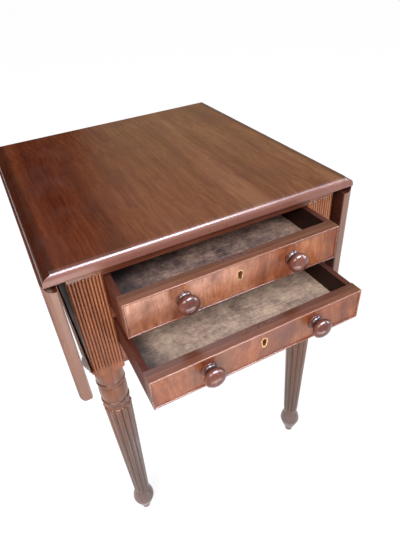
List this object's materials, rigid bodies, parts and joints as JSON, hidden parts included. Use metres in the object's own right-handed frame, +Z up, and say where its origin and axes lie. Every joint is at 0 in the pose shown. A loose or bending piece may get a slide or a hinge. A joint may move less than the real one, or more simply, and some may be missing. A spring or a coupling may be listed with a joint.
{
  "type": "drop-leaf side table",
  "caption": "Drop-leaf side table with hanging side leaves on rule joints, stacked drawers with turned knobs, and reeded tapering legs on bulb feet.",
  "frame": {"origin": "on the floor, in the middle of the box that the table fills with its drawers open as at rest and its leaves down", "axes": "+X to the right as seen by someone facing the drawers, +Y to the back, +Z up"},
  "size_m": [0.505, 0.661, 0.7],
  "materials": {
    "polished_mahogany": "french polish",
    "frame_mahogany": "worn polish",
    "figured_mahogany": "polished veneer",
    "turned_mahogany": "polished",
    "drawer_oak": "dull, darkened",
    "worn_bottom_board": "bare, worn",
    "carcase_pine": "bare, aged",
    "carcase_beech": "bare, aged",
    "aged_brass": "aged",
    "dark_iron": "dark"
  },
  "bodies": {
    "frame": {"table_top": "polished_mahogany", "leg_front_left": "frame_mahogany", "leg_front_right": "frame_mahogany", "leg_back_left": "frame_mahogany", "leg_back_right": "frame_mahogany", "front_top_rail": "frame_mahogany", "drawer_divider_rail": "frame_mahogany", "front_bottom_rail": "frame_mahogany", "back_panel": "frame_mahogany", "side_panel_left": "carcase_pine", "side_panel_right": "carcase_pine", "fly_rail_left": "carcase_beech", "fly_rail_right": "carcase_beech", "fly_pin_left": "dark_iron", "fly_pin_right": "dark_iron", "side_bead_left": "frame_mahogany", "side_bead_right": "frame_mahogany", "upper_drawer_runners": "carcase_pine", "lower_drawer_runners": "carcase_pine", "drawer_guides": "carcase_pine", "drawer_stops": "carcase_pine", "drawer_kickers": "carcase_pine", "top_fixing_screws": "dark_iron", "hinge_screws_top": "dark_iron", "hinge_plates_top_left": "aged_brass", "hinge_plates_top_right": "aged_brass", "hinge_pins_left": "aged_brass", "hinge_pins_right": "aged_brass"},
    "left_leaf": {"leaf_left": "polished_mahogany", "hinge_plates_leaf_left": "aged_brass", "hinge_screws_leaf_left": "dark_iron"},
    "right_leaf": {"leaf_right": "polished_mahogany", "hinge_plates_leaf_right": "aged_brass", "hinge_screws_leaf_right": "dark_iron"},
    "upper_drawer": {"upper_drawer_front": "figured_mahogany", "upper_drawer_side_left": "drawer_oak", "upper_drawer_side_right": "drawer_oak", "upper_drawer_back": "drawer_oak", "upper_drawer_bottom": "worn_bottom_board", "upper_drawer_cockbeads": "frame_mahogany", "upper_drawer_knob_left": "turned_mahogany", "upper_drawer_knob_right": "turned_mahogany", "upper_drawer_escutcheon": "aged_brass", "upper_drawer_lock_case": "dark_iron"},
    "lower_drawer": {"lower_drawer_front": "figured_mahogany", "lower_drawer_side_left": "drawer_oak", "lower_drawer_side_right": "drawer_oak", "lower_drawer_back": "drawer_oak", "lower_drawer_bottom": "worn_bottom_board", "lower_drawer_cockbeads": "frame_mahogany", "lower_drawer_knob_left": "turned_mahogany", "lower_drawer_knob_right": "turned_mahogany", "lower_drawer_escutcheon": "aged_brass", "lower_drawer_lock_case": "dark_iron"},
    "upper_bolt": {"upper_lock_bolt": "dark_iron"},
    "lower_bolt": {"lower_lock_bolt": "dark_iron"},
    "left_bracket": {"fly_bracket_left": "carcase_beech"},
    "right_bracket": {"fly_bracket_right": "carcase_beech"}
  },
  "joints": [
    {"name": "left_leaf_hinge", "type": "hinge", "parent": "frame", "child": "left_leaf", "pos_m": [-0.237, 0.074, 0.6845], "axis": [0, 1, 0], "range_deg": [0, 90]},
    {"name": "right_leaf_hinge", "type": "hinge", "parent": "frame", "child": "right_leaf", "pos_m": [0.237, 0.074, 0.6845], "axis": [0, -1, 0], "range_deg": [0, 90]},
    {"name": "upper_drawer_slide", "type": "slide", "parent": "frame", "child": "upper_drawer", "axis": [0, -1, 0], "range_m": [-0.071, 0.229]},
    {"name": "lower_drawer_slide", "type": "slide", "parent": "frame", "child": "lower_drawer", "axis": [0, -1, 0], "range_m": [-0.134, 0.166]},
    {"name": "upper_bolt_slide", "type": "slide", "parent": "upper_drawer", "child": "upper_bolt", "axis": [0, 0, 1], "range_m": [0, 0.008]},
    {"name": "lower_bolt_slide", "type": "slide", "parent": "lower_drawer", "child": "lower_bolt", "axis": [0, 0, 1], "range_m": [0, 0.008]},
    {"name": "left_bracket_hinge", "type": "hinge", "parent": "frame", "child": "left_bracket", "pos_m": [-0.2105, 0.149, 0.648], "axis": [0, 0, -1], "range_deg": [0, 4]},
    {"name": "right_bracket_hinge", "type": "hinge", "parent": "frame", "child": "right_bracket", "pos_m": [0.2105, 0.149, 0.648], "axis": [0, 0, 1], "range_deg": [0, 4]}
  ]
}
